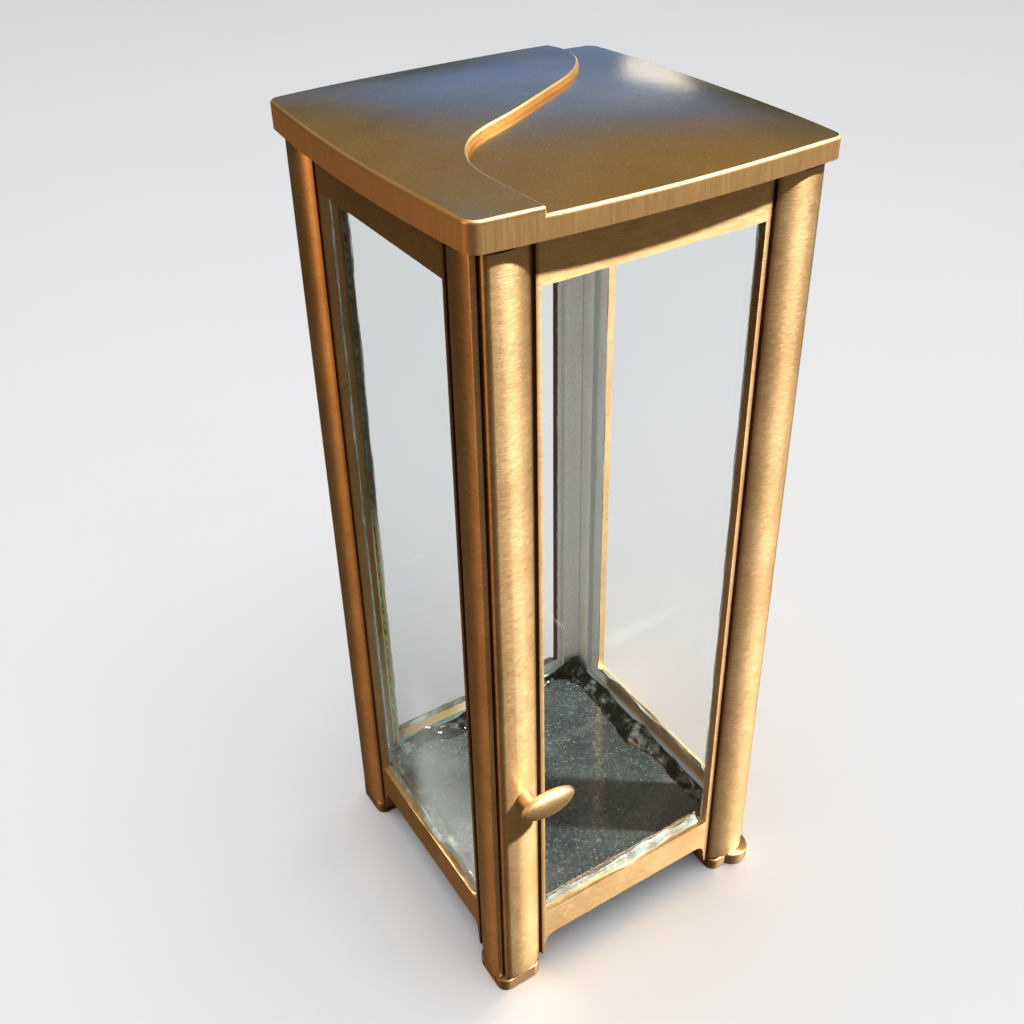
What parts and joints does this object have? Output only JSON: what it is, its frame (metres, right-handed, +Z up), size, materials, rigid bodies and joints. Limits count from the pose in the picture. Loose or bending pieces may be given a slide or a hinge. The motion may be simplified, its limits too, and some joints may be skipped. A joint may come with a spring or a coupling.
{
  "type": "outdoor candle lantern",
  "caption": "Tall square free-standing lantern with glazed bronze frames, a hinged front door with a thumb-turn, and a two-level domed roof on small feet.",
  "frame": {"origin": "middle of the underside of the whole object, on the ground plane", "axes": "+Z up, -Y towards the door and its knob, +X towards the door's hinge"},
  "size_m": [0.1512, 0.1574, 0.3692],
  "materials": {
    "bronze_frame": "satin, brushed, warm brown bronze",
    "bronze_roof": "satin brushed bronze, darker olive brown",
    "bronze_knob": "polished satin bronze",
    "glass": "clear float glass with green-blue edges",
    "silicone": "clear glossy silicone",
    "floor_plate": "glossy dark speckled plate",
    "steel": "plain stainless steel"
  },
  "bodies": {
    "lantern": {"roof_cap": "bronze_roof", "left_frame": "bronze_frame", "back_frame": "bronze_frame", "right_frame": "bronze_frame", "base_plate": "floor_plate", "left_glass": "glass", "back_glass": "glass", "right_glass": "glass", "left_glass_bead": "silicone", "back_glass_bead": "silicone", "right_glass_bead": "silicone", "floor_bead": "silicone", "front_left_foot": "bronze_frame", "back_left_foot": "bronze_frame", "back_right_foot": "bronze_frame", "hinge_foot": "bronze_frame", "lower_blocks": "bronze_frame", "upper_brackets": "steel", "block_screws": "steel", "bracket_screws": "steel", "roof_screws": "steel", "foot_screws": "steel", "lower_hinge_pin": "steel", "upper_hinge_pin": "steel", "hinge_washer": "steel", "latch_keeper": "steel", "keeper_screw": "steel"},
    "door": {"door_frame": "bronze_frame", "door_glass": "glass", "door_glass_bead": "silicone"},
    "knob": {"knob": "bronze_knob", "knob_clip": "steel", "latch_cam": "steel", "cam_screw": "steel"}
  },
  "joints": [
    {"name": "door_hinge", "type": "hinge", "parent": "lantern", "child": "door", "pos_m": [0.0644, -0.0617, 0.0077], "axis": [0, 0, 1], "range_deg": [0, 105]},
    {"name": "knob_turn", "type": "hinge", "parent": "door", "child": "knob", "pos_m": [-0.057, -0.0676, 0.12], "axis": [0, 1, 0], "range_deg": [0, 90]}
  ]
}
